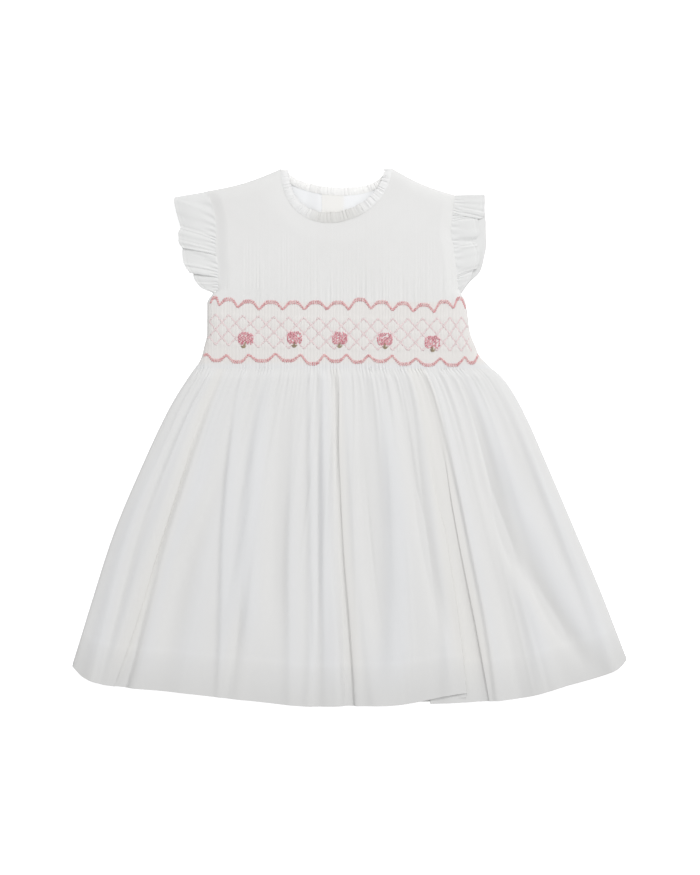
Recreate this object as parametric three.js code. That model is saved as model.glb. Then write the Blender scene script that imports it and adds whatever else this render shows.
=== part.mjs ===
// Toddler dress with a smocked chest panel, laid flat on its back. Millimetres, +Z up.
// The surface it lies on is z = 0, +X is the viewer's right and +Y points from the hem to the neck.
// Every piece of cloth is a closed wall: a grid of points, thickened by half a wall each way.
import * as THREE from 'three';

// ---- Driving sizes -----------------------------------------------------------------------

const WALL = 1.2;             // cloth wall
const HALF = WALL / 2;
const SEAM = 0.3;             // gap where two pieces meet
const CURVED_SEAM = 0.8;      // the same, along the curved seams of the neck and armholes
const BACK_LEVEL = HALF;      // middle of the back cloth, which rests on the surface
const FRONT_LEVEL = 2.3;      // middle of the front cloth where it lies on the back
const BODICE_LOFT = 3.5;      // how far the chest stands above the side seams
const ROLL = 14;              // width over which a side edge rounds down
const FOLD_RADIUS = 0.95;     // bend of a pleat that is folded over

const WAIST_Y = 66;
const BAND_TOP_Y = 130;
const UNDERARM_Y = 137;

const BUTTON_RADIUS = 5.5;
const BUTTON_THICKNESS = 1.6;
const BUTTON_DISH = 0.4;      // how far the middle of a button is sunk
const BUTTON_LIFT = BUTTON_THICKNESS + SEAM; // how far the buttons lift the cloth over them
const OPENING = { outer: -6, inner: -27, centre: -16.5 }; // edges of the two back halves, in x

const NECK = { left: { x: -66, y: 258.5 }, right: { x: 39.5, y: 259.5 }, frontDepth: 52, backDepth: 28 };
const NECK_LEAN = 0.12;       // the left of the neckline sags this much more than the right
const SHOULDER_SAG = 3;  // how far the shoulder lines curve below straight ones
const SHOULDER = { left: { x: -137, y: 237 }, right: { x: 101.5, y: 233 } };

// Side edges of the bodice, from the waist to the tip of the shoulder.
const BODICE_SIDES = [
  { y: 66, left: -149.5, right: 136.5 },
  { y: 73, left: -144.5, right: 129.5 },
  { y: 79, left: -142, right: 124 },
  { y: 88, left: -139.8, right: 120.3 },
  { y: 100, left: -137.2, right: 115.5 },
  { y: 130, left: -137, right: 111 },
  { y: 137, left: -132.5, right: 107.5 },
  { y: 143, left: -127, right: 104 },
  { y: 160, left: -126.5, right: 102.5 },
  { y: 180, left: -128.5, right: 100 },
  { y: 198, left: -128.5, right: 97 },
  { y: 213, left: -130, right: 98.5 },
  { y: 237, left: -137, right: 101.5 },
];

// Side edges of the skirt, from the waist to the corners of the hem.
const SKIRT_SIDES = [
  { down: 0.0, left: -149.5, right: 136.5, leftY: 66, rightY: 66 },
  { down: 0.05, left: -156.5, right: 146, leftY: 56, rightY: 58 },
  { down: 0.14, left: -172, right: 163, leftY: 31, rightY: 32 },
  { down: 0.34, left: -201, right: 191, leftY: -30, rightY: -30 },
  { down: 0.56, left: -227, right: 217, leftY: -92, rightY: -91 },
  { down: 0.78, left: -248, right: 243, leftY: -157, rightY: -153 },
  { down: 1.0, left: -267, right: 266, leftY: -220, rightY: -214 },
];

// How far the hem hangs below the line between its corners, across the skirt.
const HEM_DROP = [
  { across: 0.0, drop: 0 },
  { across: 0.02, drop: 10 },
  { across: 0.06, drop: 18 },
  { across: 0.18, drop: 25.5 },
  { across: 0.32, drop: 35 },
  { across: 0.44, drop: 41 },
  { across: 0.52, drop: 41 },
  { across: 0.7, drop: 39 },
  { across: 0.8, drop: 36 },
  { across: 0.9, drop: 23 },
  { across: 0.96, drop: 14 },
  { across: 0.985, drop: 8 },
  { across: 1.0, drop: 0 },
];

// Pleats folded over, from left to right. "over" is 1 where the cloth on the left lies on top.
// "lap" is how far it reaches over at the waist and at the hem, "reach" how wide it stands up.
const PLEATS = [
  { waist: 0.09, middle: 0.1, hem: 0.075, over: 1, lapWaist: 2, lapHem: 9, reach: 26, rise: 0 },
  { waist: 0.47, middle: 0.497, hem: 0.511, over: -1, lapWaist: 2, lapHem: 4, reach: 30, rise: 0 },
  { waist: 0.728, middle: 0.724, hem: 0.71, over: 1, lapWaist: 2, lapHem: 34, reach: 34, rise: 9 },
  { waist: 0.755, middle: 0.753, hem: 0.753, over: -1, lapWaist: 1.5, lapHem: 3, reach: 30, rise: 0 },
];

// Soft ridges that run from the waist to the hem; "from" says how far down each begins to swell.
const SOFT_FOLDS = [
  { waist: 0.07, hem: 0.035, width: 15, height: 4.5, from: 0.1 },
  { waist: 0.17, hem: 0.125, width: 14, height: 4.0, from: 0.15 },
  { waist: 0.21, hem: 0.265, width: 13, height: 4.5, from: 0.1 },
  { waist: 0.3, hem: 0.34, width: 24, height: 4.5, from: 0.1 },
  { waist: 0.41, hem: 0.437, width: 13, height: 4.0, from: 0.2 },
  { waist: 0.53, hem: 0.57, width: 24, height: 3.0, from: 0.1 },
  { waist: 0.62, hem: 0.655, width: 16, height: 3.5, from: 0.25 },
  { waist: 0.78, hem: 0.79, width: 18, height: 3.0, from: 0.15 },
  { waist: 0.85, hem: 0.86, width: 15, height: 4.5, from: 0.2 },
  { waist: 0.92, hem: 0.93, width: 17, height: 5.0, from: 0.1 },
];

// How far each sleeve reaches out from the armhole, from the underarm to the shoulder.
const SLEEVE_REACH = [
  { along: 0.0, left: 7, right: 5 },
  { along: 0.12, left: 19, right: 12 },
  { along: 0.25, left: 28, right: 23 },
  { along: 0.42, left: 33, right: 29 },
  { along: 0.58, left: 36, right: 34 },
  { along: 0.72, left: 34, right: 32 },
  { along: 0.86, left: 34, right: 31 },
  { along: 1.0, left: 31, right: 28 },
];
const SLEEVE = { foldDrop: 6, loftOut: 3.4, flutes: 5, fluteHeight: 0.9 };
const FRILL = { frontWidth: 9.6, backWidth: 7.6, ripples: 11, rippleHeight: 0.3 };

// ---- Materials ---------------------------------------------------------------------------

const WHITE_COTTON = new THREE.MeshStandardMaterial({ color: 0xf1efe9, roughness: 0.85, metalness: 0 });
const IVORY_COTTON = new THREE.MeshStandardMaterial({ color: 0xf3efe6, roughness: 0.85, metalness: 0 });
const TRIM_COTTON = new THREE.MeshStandardMaterial({ color: 0xe9e6da, roughness: 0.8, metalness: 0 });
const BUTTON_SHELL = new THREE.MeshStandardMaterial({ color: 0xf4f1ea, roughness: 0.3, metalness: 0 });

// ---- Small helpers -----------------------------------------------------------------------

const lerp = (a, b, t) => a + (b - a) * t;
const clamp01 = (t) => Math.min(1, Math.max(0, t));
const smooth = (t) => clamp01(t) ** 2 * (3 - 2 * clamp01(t));
const quarterRound = (t) => Math.sqrt(1 - (1 - clamp01(t)) ** 2);
const steps = (count) => Array.from({ length: count + 1 }, (_, i) => i / count);

// Reads one column of a table at a key, through a smooth curve that never overshoots.
function lookup(table, key, column, at) {
  const last = table.length - 1;
  const rows = table[0][key] < table[last][key] ? table : [...table].reverse();
  if (at <= rows[0][key]) return rows[0][column];
  if (at >= rows[last][key]) return rows[last][column];
  const i = rows.findIndex((row) => row[key] > at) - 1;
  const slope = (k) => (rows[k + 1][column] - rows[k][column]) / (rows[k + 1][key] - rows[k][key]);
  const tangent = (k) => {
    if (k === 0) return slope(0);
    if (k === last) return slope(last - 1);
    const before = slope(k - 1);
    const after = slope(k);
    return before * after <= 0 ? 0 : (2 * before * after) / (before + after);
  };
  const span = rows[i + 1][key] - rows[i][key];
  const t = (at - rows[i][key]) / span;
  const start = (2 * t ** 3 - 3 * t ** 2 + 1) * rows[i][column] + (t ** 3 - 2 * t ** 2 + t) * span * tangent(i);
  const end = (3 * t ** 2 - 2 * t ** 3) * rows[i + 1][column] + (t ** 3 - t ** 2) * span * tangent(i + 1);
  return start + end;
}

// ---- Cloth walls -------------------------------------------------------------------------

// A closed wall from two grids of points, the upper and the lower face, joined along their edges.
function closeWall(upper, lower) {
  const rows = upper.length;
  const columns = upper[0].length;
  const positions = [...upper.flat(), ...lower.flat()].flat();
  const top = (j, i) => j * columns + i;
  const bottom = (j, i) => rows * columns + j * columns + i;
  const faces = [];
  const quad = (a, b, c, d) => faces.push(a, b, c, a, c, d);
  for (let j = 0; j < rows - 1; j += 1) {
    for (let i = 0; i < columns - 1; i += 1) {
      quad(top(j, i), top(j, i + 1), top(j + 1, i + 1), top(j + 1, i));
      quad(bottom(j, i), bottom(j + 1, i), bottom(j + 1, i + 1), bottom(j, i + 1));
    }
    quad(top(j, 0), top(j + 1, 0), bottom(j + 1, 0), bottom(j, 0));
    quad(top(j, columns - 1), bottom(j, columns - 1), bottom(j + 1, columns - 1), top(j + 1, columns - 1));
  }
  for (let i = 0; i < columns - 1; i += 1) {
    quad(top(0, i), bottom(0, i), bottom(0, i + 1), top(0, i + 1));
    quad(top(rows - 1, i), top(rows - 1, i + 1), bottom(rows - 1, i + 1), bottom(rows - 1, i));
  }
  const geometry = new THREE.BufferGeometry();
  geometry.setAttribute('position', new THREE.Float32BufferAttribute(positions, 3));
  geometry.setIndex(faces);
  geometry.computeVertexNormals();
  return geometry;
}

// A wall around a grid of middle points, thickened straight up and down.
function flatWall(grid) {
  const shifted = (dz) => grid.map((row) => row.map(([x, y, z]) => [x, y, z + dz]));
  return closeWall(shifted(HALF), shifted(-HALF));
}

// A wall around rows of middle points, thickened across the bend of each row. "plane" names the
// two coordinates that the row bends in.
function bentWall(grid, plane) {
  const [a, b] = plane;
  const offset = (row, distance) => row.map((point, i) => {
    const before = row[Math.max(0, i - 1)];
    const after = row[Math.min(row.length - 1, i + 1)];
    const along = [after[a] - before[a], after[b] - before[b]];
    const length = Math.hypot(...along);
    const moved = [...point];
    moved[a] -= (along[1] / length) * distance;
    moved[b] += (along[0] / length) * distance;
    return moved;
  });
  return closeWall(grid.map((row) => offset(row, HALF)), grid.map((row) => offset(row, -HALF)));
}

// Points of a patch between four edges, each a function from 0..1 to [x, y].
function patch({ bottom, top, left, right }, u, v) {
  return [0, 1].map((k) => {
    const corners = lerp(lerp(bottom(0)[k], bottom(1)[k], u), lerp(top(0)[k], top(1)[k], u), v);
    return lerp(bottom(u)[k], top(u)[k], v) + lerp(left(v)[k], right(v)[k], u) - corners;
  });
}

// ---- The bodice --------------------------------------------------------------------------

const bodiceSide = (side, y) => lookup(BODICE_SIDES, 'y', side, y);

// A point on the neck seam, from the left neck point (0) to the right one (1).
function neckPoint(along, depth) {
  const angle = Math.PI * along;
  const width = (NECK.right.x - NECK.left.x) / 2;
  const x = (NECK.left.x + NECK.right.x) / 2 - width * Math.cos(angle);
  const lean = 1 + NECK_LEAN * Math.cos(angle);
  return [x, lerp(NECK.left.y, NECK.right.y, along) - depth * lean * Math.sin(angle) ** 0.9];
}

// Height of a shoulder line, from the sleeve (0) to the neck (1).
const shoulderY = (side, t) => (
  lerp(SHOULDER[side].y, NECK[side].y, t) - SHOULDER_SAG * Math.sin(Math.PI * t)
);
const shoulderPoint = (side, t) => [lerp(SHOULDER[side].x, NECK[side].x, t), shoulderY(side, t)];

// Upper edge of the front: left shoulder, neckline, right shoulder.
const NECK_FROM = 0.28;
const NECK_TO = 0.72;
const NECK_STEPS = 20;
function frontTop(u) {
  if (u <= NECK_FROM) return shoulderPoint('left', u / NECK_FROM);
  if (u >= NECK_TO) return shoulderPoint('right', (1 - u) / (1 - NECK_TO));
  return neckPoint((u - NECK_FROM) / (NECK_TO - NECK_FROM), NECK.frontDepth);
}

const levelEdge = (y) => (u) => [lerp(bodiceSide('left', y), bodiceSide('right', y), u), y];
const sideEdge = (side, fromY, toY) => (v) => {
  const y = lerp(fromY, toY, v);
  return [bodiceSide(side, y), y];
};

// Middle height of the front bodice: it rounds down to the side seams and to the shoulders.
function bodiceHeight(x, y) {
  const inside = Math.min(x - bodiceSide('left', y), bodiceSide('right', y) - x);
  const side = x < OPENING.centre ? 'left' : 'right';
  const along = (x - SHOULDER[side].x) / (NECK[side].x - SHOULDER[side].x);
  const below = shoulderY(side, clamp01(along)) - y;
  return FRONT_LEVEL + BODICE_LOFT * quarterRound(inside / ROLL) * quarterRound(below / ROLL);
}

function frontYoke() {
  const edges = {
    bottom: levelEdge(BAND_TOP_Y + SEAM),
    top: frontTop,
    left: sideEdge('left', BAND_TOP_Y + SEAM, SHOULDER.left.y),
    right: sideEdge('right', BAND_TOP_Y + SEAM, SHOULDER.right.y),
  };
  const neckline = steps(NECK_STEPS).map((t) => lerp(NECK_FROM, NECK_TO, t));
  const across = [0, 0.015, 0.05, 0.12, 0.2, ...neckline, 0.8, 0.88, 0.95, 0.985, 1];
  const up = [0, 0.04, 0.07, 0.12, 0.2, 0.32, 0.46, 0.6, 0.74, 0.86, 0.94, 1];
  return flatWall(up.map((v) => across.map((u) => {
    const [x, y] = patch(edges, u, v);
    return [x, y, bodiceHeight(x, y)];
  })));
}

function smockedBand() {
  const across = [0, 0.012, 0.03, 0.06, ...steps(8).map((t) => lerp(0.12, 0.88, t)), 0.94, 0.97, 0.988, 1];
  const up = [0, 0.1, 0.2, 0.34, 0.6, 1];
  return flatWall(up.map((v) => across.map((u) => {
    const [x, y] = levelEdge(lerp(WAIST_Y, BAND_TOP_Y, v))(u);
    return [x, y, bodiceHeight(x, y)];
  })));
}

// Middle height of the outer back half, lifted in a low strip over the buttons.
function outerBackHeight(x) {
  const lift = smooth((x - OPENING.inner + 10) / 12);
  return BACK_LEVEL + BUTTON_LIFT * lift;
}

// The inner back half lies on the outer one at the opening and comes down beside it.
function innerBackHeight(x) {
  const down = smooth((x - OPENING.outer - 6) / 18);
  return lerp(BACK_LEVEL + BUTTON_LIFT + WALL + SEAM, BACK_LEVEL, down);
}

function backTop(side, edgeX) {
  const neckEnd = Math.acos(1 - (2 * (edgeX - NECK.left.x)) / (NECK.right.x - NECK.left.x)) / Math.PI;
  const start = side === 'left' ? 0 : 1;
  const fraction = 0.56;      // share of the edge that is shoulder; the rest is neckline
  return (t) => {
    if (t <= fraction) return shoulderPoint(side, t / fraction);
    return neckPoint(lerp(start, neckEnd, (t - fraction) / (1 - fraction)), NECK.backDepth);
  };
}

// One half of the back bodice, from its side edge (0) to its edge at the opening (1).
function backBodice(side, edgeX, height) {
  const top = backTop(side, edgeX);
  const edges = {
    bottom: (t) => [lerp(bodiceSide(side, WAIST_Y), edgeX, t), WAIST_Y],
    top,
    left: sideEdge(side, WAIST_Y, SHOULDER[side].y),
    right: (v) => [edgeX, lerp(WAIST_Y, top(1)[1], v)],
  };
  const across = [0, 0.2, 0.4, 0.56, 0.575, 0.6, 0.64, 0.7, 0.77, 0.82, 0.87, 0.91, 0.95, 1];
  const columns = side === 'left' ? across : [...across].reverse();
  const up = [0, 0.04, 0.08, 0.13, 0.25, 0.375, 0.4, 0.425, 0.45, 0.49, 0.54, 0.61, 0.69, 0.78, 0.87, 1];
  return flatWall(up.map((v) => columns.map((u) => {
    const [x, y] = patch(edges, u, v);
    return [x, y, height(x)];
  })));
}

// ---- The skirt ---------------------------------------------------------------------------

const skirtSide = (column, down) => lookup(SKIRT_SIDES, 'down', column, down);

function skirtX(across, down) {
  return lerp(skirtSide('left', down), skirtSide('right', down), across);
}

function skirtY(across, down) {
  const level = lerp(skirtSide('leftY', down), skirtSide('rightY', down), across);
  return level - lookup(HEM_DROP, 'across', 'drop', across) * down;
}

// Height of the soft folds above the level of the front cloth.
function foldHeight(across, down) {
  const width = skirtX(1, down) - skirtX(0, down);
  return SOFT_FOLDS.reduce((sum, fold) => {
    const away = ((across - lerp(fold.waist, fold.hem, down)) * width) / lerp(fold.width * 0.5, fold.width, down);
    return sum + fold.height * smooth((down - fold.from + 0.2) / 0.7) * Math.exp(-(away ** 2));
  }, 0);
}

function frontSkirtHeight(across, down) {
  const width = skirtX(1, down) - skirtX(0, down);
  const inside = Math.min(across, 1 - across) * width;
  const loft = lerp(BODICE_LOFT, 1.2, smooth(down / 0.5));
  return FRONT_LEVEL + (loft + foldHeight(across, down)) * quarterRound(inside / ROLL);
}

const LAYER = 2 * FOLD_RADIUS;  // height between two layers of a folded pleat

// Where a pleat's edge lies across the skirt, bending through its middle.
function pleatLine({ waist, middle, hem }, down) {
  return waist * (1 - down) * (1 - 2 * down) + 4 * middle * down * (1 - down) + hem * down * (2 * down - 1);
}

// Points of one folded pleat at one row: out along the top layer's bend, back, and on again.
function pleatPoints(pleat, down, arcSteps) {
  const edge = skirtX(pleatLine(pleat, down), down);
  const lap = lerp(pleat.lapWaist, pleat.lapHem, down ** 1.5);
  const bend = (x, height, outward) => steps(arcSteps).map((t) => ({
    x: x + outward * FOLD_RADIUS * Math.sin(Math.PI * t),
    lift: height + FOLD_RADIUS * Math.cos(Math.PI * t),
  }));
  const first = bend(edge, 3 * FOLD_RADIUS, pleat.over);
  const second = bend(edge - pleat.over * lap, FOLD_RADIUS, -pleat.over);
  const points = [...first, ...second];
  return { edge, lap, points: pleat.over > 0 ? points : points.reverse() };
}

// How much the cloth beside a pleat stands up because it lies on the folded layers.
function raisedBy(pleat, edge, lap, x) {
  const away = (edge - x) * pleat.over;
  return 2 * LAYER * (1 - smooth((away - lap - 2) / pleat.reach));
}

// One row of the front skirt, from the left edge to the right, as { x, lift, rise }.
function frontRow(down, spanSteps, arcSteps) {
  const folded = PLEATS.map((pleat) => ({ pleat, ...pleatPoints(pleat, down, arcSteps) }));
  const row = [];
  for (let k = 0; k <= folded.length; k += 1) {
    const before = folded[k - 1];
    const after = folded[k];
    const from = before ? before.points.at(-1).x : skirtX(0, down);
    const to = after ? after.points[0].x : skirtX(1, down);
    const inner = steps(spanSteps[k]).slice(before ? 1 : 0, after ? -1 : undefined);
    for (const t of inner) {
      const x = lerp(from, to, t);
      const left = before && before.pleat.over < 0 ? raisedBy(before.pleat, before.edge, before.lap, x) : 0;
      const right = after && after.pleat.over > 0 ? raisedBy(after.pleat, after.edge, after.lap, x) : 0;
      const nearEdge = after ? smooth(1 - (after.edge - x) / 70) * after.pleat.rise : 0;
      row.push({ x, lift: Math.max(left, right), rise: nearEdge });
    }
    if (after) {
      const count = after.points.length - 1;
      after.points.forEach((p, i) => row.push({ ...p, rise: after.pleat.rise * (1 - smooth(i / count)) }));
    }
  }
  return row;
}

function frontSkirt() {
  const down = [0, 0.05, 0.13, 0.26, 0.42, 0.58, 0.74, 0.88, 1];
  const spanSteps = [9, 22, 12, 3, 15];
  return bentWall(down.toReversed().map((v) => frontRow(v, spanSteps, 4).map(({ x, lift, rise }) => {
    const across = (x - skirtX(0, v)) / (skirtX(1, v) - skirtX(0, v));
    const y = skirtY(across, v) + rise * v ** 2 - (v === 0 ? SEAM : 0);
    return [x, y, frontSkirtHeight(across, v) + lift];
  })), [0, 2]);
}

// The back skirt has the same outline. It rests on the surface and lifts a little under the folds.
const BACK_HEM_INSET = 2;
const BACK_FOLLOW = 0.3;
function backSkirt() {
  const down = [0, 0.05, 0.14, 0.34, 0.56, 0.78, 1];
  const across = [0, 0.012, ...steps(30).slice(1, -1), 0.988, 1];
  return flatWall(down.toReversed().map((v) => across.map((u) => {
    const y = skirtY(u, v) + (v === 1 ? BACK_HEM_INSET : 0) - (v === 0 ? SEAM : 0);
    const inside = Math.min(u, 1 - u) * (skirtX(1, v) - skirtX(0, v));
    const lift = Math.max(0, BACK_FOLLOW * foldHeight(u, v) - 0.6) * quarterRound(inside / ROLL);
    return [skirtX(u, v), y, BACK_LEVEL + lift];
  })));
}

// ---- Sleeves, frill and buttons ----------------------------------------------------------

// A flutter sleeve: each row runs up the front layer, over the shoulder fold and down the back layer.
function sleeve(side) {
  const outward = side === 'left' ? -1 : 1;
  const along = [0, 0.025, 0.05, 0.1, 0.18, 0.28, 0.38, 0.49, 0.6, 0.71, 0.82, 0.93, 1];
  const row = (s) => {
    const topY = SHOULDER[side].y - SLEEVE.foldDrop * s * (side === 'left' ? 1 : 0.2);
    const frontZ = FRONT_LEVEL + SLEEVE.loftOut * smooth(s / 0.8);
    const radius = (frontZ - BACK_LEVEL) / 2;
    const place = (t, y, z) => {
      const reach = lookup(SLEEVE_REACH, 'along', side, t) * s;
      return [bodiceSide(side, Math.min(y, SHOULDER[side].y)) + outward * (CURVED_SEAM + reach), y, z];
    };
    const heightAt = (t) => lerp(UNDERARM_Y + 1, topY - radius, t);
    const flute = (t) => SLEEVE.fluteHeight * s * (1 - Math.cos(2 * Math.PI * SLEEVE.flutes * t)) * (1 - t);
    const front = along.slice(0, -1).map((t) => place(t, heightAt(t), frontZ + flute(t)));
    const fold = steps(4).map((t) => {
      const angle = Math.PI * t;
      return place(1, topY - radius + radius * Math.sin(angle), frontZ - radius + radius * Math.cos(angle));
    });
    const back = along.slice(0, -1).toReversed().map((t) => place(t, heightAt(t), BACK_LEVEL));
    return [...front, ...fold, ...back];
  };
  const rows = [0, 0.3, 0.65, 1].map(row);
  return bentWall(side === 'left' ? rows : rows.toReversed(), [1, 2]);
}

// The neck frill, from the seam (0) to the free edge (1): a point moved squarely off the neck
// seam, with small ripples at the free edge.
function frillPoint(along, v, { depth, width }, z) {
  const [seamX, seamY] = neckPoint(along, depth);
  const [nextX, nextY] = neckPoint(along + 0.001, depth);
  const length = Math.hypot(nextX - seamX, nextY - seamY);
  const moved = (width * lerp(0.75, 1, Math.sin(Math.PI * along)) * v + CURVED_SEAM) / length;
  const ripple = FRILL.rippleHeight * Math.sin(2 * Math.PI * FRILL.ripples * along);
  return [seamX - (nextY - seamY) * moved, seamY + (nextX - seamX) * moved, z + ripple * v];
}

// The front strip lies in the plane of the front and leans into the neck.
function frontFrill() {
  const strip = { depth: NECK.frontDepth, width: FRILL.frontWidth };
  const height = (along) => FRONT_LEVEL + SEAM + BODICE_LOFT * quarterRound(Math.sin(Math.PI * along) / 0.35);
  const stations = steps(NECK_STEPS).slice(1, -1);
  return flatWall([0, 0.5, 1].map((v) => stations.map((along) => frillPoint(along, v, strip, height(along)))));
}

// The two back strips stand up from the back neck seam and meet at the opening.
function backFrill(from, to) {
  const strip = { depth: NECK.backDepth, width: FRILL.backWidth };
  const height = (along, v) => {
    const lift = (BUTTON_LIFT + WALL) * smooth((Math.sin(Math.PI * along) - 0.7) / 0.25);
    return BACK_LEVEL + SEAM + FRILL.rippleHeight * v + lift;
  };
  const stations = steps(12).map((t) => lerp(from, to, t));
  return flatWall([0, 0.5, 1].map((v) => stations.map((along) => frillPoint(along, v, strip, height(along, v)))));
}

// A round button with a dished face, lying face down on the surface.
function button() {
  const rim = BUTTON_RADIUS - 1.4;
  const profile = [
    [0, BUTTON_DISH], [rim - 0.6, BUTTON_DISH], [rim, 0], [BUTTON_RADIUS - 0.4, 0], [BUTTON_RADIUS, 0.4],
    [BUTTON_RADIUS, BUTTON_THICKNESS - 0.3], [BUTTON_RADIUS - 0.3, BUTTON_THICKNESS], [0, BUTTON_THICKNESS],
  ];
  return new THREE.LatheGeometry(profile.map(([r, z]) => new THREE.Vector2(r, z)), 12).rotateX(Math.PI / 2);
}

// ---- The whole dress ---------------------------------------------------------------------

const dress = new THREE.Group();
function add(name, geometry, material, position = [0, 0, 0]) {
  const mesh = new THREE.Mesh(geometry, material);
  mesh.name = name;
  mesh.position.set(...position);
  dress.add(mesh);
}

add('front_yoke', frontYoke(), WHITE_COTTON);
add('front_smocked_band', smockedBand(), IVORY_COTTON);
add('front_skirt', frontSkirt(), WHITE_COTTON);
add('back_bodice_left', backBodice('left', OPENING.outer, outerBackHeight), WHITE_COTTON);
add('back_bodice_right', backBodice('right', OPENING.inner, innerBackHeight), WHITE_COTTON);
add('back_skirt', backSkirt(), WHITE_COTTON);
add('sleeve_left', sleeve('left'), WHITE_COTTON);
add('sleeve_right', sleeve('right'), WHITE_COTTON);
add('neck_frill_front', frontFrill(), TRIM_COTTON);
add('neck_frill_back_left', backFrill(1 / NECK_STEPS, 0.47), TRIM_COTTON);
add('neck_frill_back_right', backFrill(0.478, 1 - 1 / NECK_STEPS), TRIM_COTTON);
const BUTTONS = { button_top: 215, button_middle: 155, button_bottom: 95 };
for (const [name, y] of Object.entries(BUTTONS)) {
  add(name, button(), BUTTON_SHELL, [OPENING.centre, y, 0]);
}

export default dress;
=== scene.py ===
"""A toddler dress laid flat: pleated yoke, smocked and embroidered chest band, gathered skirt,
flutter sleeves and a frilled neck. Tables and sizes are in millimetres; meshes are made in metres."""
import math

import bpy
import numpy as np
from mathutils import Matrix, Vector


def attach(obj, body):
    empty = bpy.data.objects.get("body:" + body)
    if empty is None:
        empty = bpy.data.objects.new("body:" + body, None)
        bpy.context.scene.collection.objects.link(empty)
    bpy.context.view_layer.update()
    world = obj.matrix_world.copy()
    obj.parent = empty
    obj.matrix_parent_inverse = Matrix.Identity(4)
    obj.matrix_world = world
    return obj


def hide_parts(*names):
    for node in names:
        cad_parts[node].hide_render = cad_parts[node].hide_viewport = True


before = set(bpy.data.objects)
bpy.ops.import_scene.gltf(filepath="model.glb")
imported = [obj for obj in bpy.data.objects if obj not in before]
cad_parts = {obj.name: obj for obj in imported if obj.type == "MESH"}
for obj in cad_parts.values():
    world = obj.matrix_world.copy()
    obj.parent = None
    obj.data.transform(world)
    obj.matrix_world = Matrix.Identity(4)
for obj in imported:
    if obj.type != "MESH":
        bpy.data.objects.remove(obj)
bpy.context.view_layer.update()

# ---- Sizes, in millimetres ----

MM = 0.001
CLOTH = 0.5                   # thickness of the fine cotton
FRILL_CLOTH = 0.35            # and of the frill, which is finer
BACK_LEVEL = 0.6              # middle of the back cloth above the surface
FRONT_LEVEL = 2.3             # middle of the front cloth where it lies on the back
SEAM_STEP = 0.55              # the front lies this far over the back where they are sewn together
SEAM_REACH = 5.0              # width over which it comes down to that
BODICE_LOFT = 3.5             # how far the front bodice stands over FRONT_LEVEL, on air
ARMHOLE_LEVEL = 0.3           # share of that loft at the armholes, where the sleeves are sewn on
NECKLINE_LEVEL = 0.6          # and along the front neckline
ROLL = 14.0                   # width over which a side edge rounds down
FOLD_RADIUS = {"waist": 0.27, "hem": 0.5}      # bend of the cloth where a pleat folds over

WAIST_Y = 66.0
BAND_TOP_Y = 130.0
UNDERARM_Y = 137.0

BUTTON_LIFT = 1.9             # the buttons underneath lift the opening by this much
OPENING = {"outer": -6.0, "inner": -27.0, "centre": -16.5}
NECK = {"left": (-66.0, 258.5), "right": (39.5, 259.5)}
NECK_DEPTH = {"front": 52.0, "back": 26.0}
NECK_LEAN = {"front": 0.12, "back": -0.1}      # share by which its left half hangs deeper
SHOULDER_SAG = 3.0            # how far the shoulder lines curve below straight ones
SHOULDER = {"left": (-137.0, 237.0), "right": (101.5, 233.0)}


def table(names, *rows):
    """A table with named columns."""
    return {name: np.array([row[i] for row in rows], float) for i, name in enumerate(names.split())}


BODICE_SIDES = table(
    "y left right",
    (66, -149.5, 136.5), (73, -144.5, 129.5), (79, -142, 124), (88, -139.8, 120.3),
    (100, -137.2, 115.5), (130, -137, 111), (137, -132.5, 107.5), (143, -127, 104),
    (160, -126.5, 102.5), (180, -128.5, 100), (198, -128.5, 97), (213, -130, 98.5), (237, -137, 101.5),
)
SKIRT_SIDES = table(
    "down left right left_y right_y",
    (0.0, -149.5, 136.5, 66, 66), (0.05, -156.5, 146, 56, 58), (0.14, -172, 163, 31, 32),
    (0.34, -201, 191, -30, -30), (0.56, -227, 217, -92, -91), (0.78, -248, 243, -157, -153),
    (1.0, -267, 266, -220, -214),
)
HEM_DROP = table(
    "across drop",
    (0, 0), (0.02, 10), (0.06, 18), (0.18, 25.5), (0.32, 35), (0.44, 41), (0.52, 41), (0.7, 39),
    (0.8, 36), (0.9, 23), (0.96, 14), (0.985, 8), (1, 0),
)
# Pleats folded over: where each lies, how far it laps, how far its lift reaches, how much the
# hem rises beside it and where it starts. "over" is 1 where the cloth on the left lies on top.
PLEATS = table(
    "waist middle hem over lap_waist lap_hem reach rise start",
    (0.09, 0.1, 0.075, 1, 2, 9, 26, 0, 0.12),
    (0.47, 0.497, 0.511, -1, 2, 4, 30, 0, 0.02),
    (0.728, 0.724, 0.71, 1, 2, 34, 34, 9, 0.3),
    (0.755, 0.753, 0.753, -1, 1.5, 3, 30, 0, 0.2),
)
# Soft folds of the cloth the back skirt follows, from the waist to the hem.
SOFT_FOLDS = table(
    "waist middle hem left right height start end",
    (0.07, 0.052, 0.035, 15, 15, 4.5, 0.1, 2),
    (0.17, 0.147, 0.125, 14, 14, 4.0, 0.15, 2),
    (0.21, 0.237, 0.265, 13, 13, 4.5, 0.1, 2),
    (0.3, 0.32, 0.34, 24, 24, 4.5, 0.1, 2),
    (0.41, 0.424, 0.437, 13, 13, 4.0, 0.2, 2),
    (0.53, 0.55, 0.57, 24, 24, 3.0, 0.1, 2),
    (0.62, 0.637, 0.655, 16, 16, 3.5, 0.25, 2),
    (0.78, 0.785, 0.79, 18, 18, 3.0, 0.15, 2),
    (0.85, 0.855, 0.86, 15, 15, 4.5, 0.2, 2),
    (0.92, 0.925, 0.93, 17, 17, 5.0, 0.1, 2),
)
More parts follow.
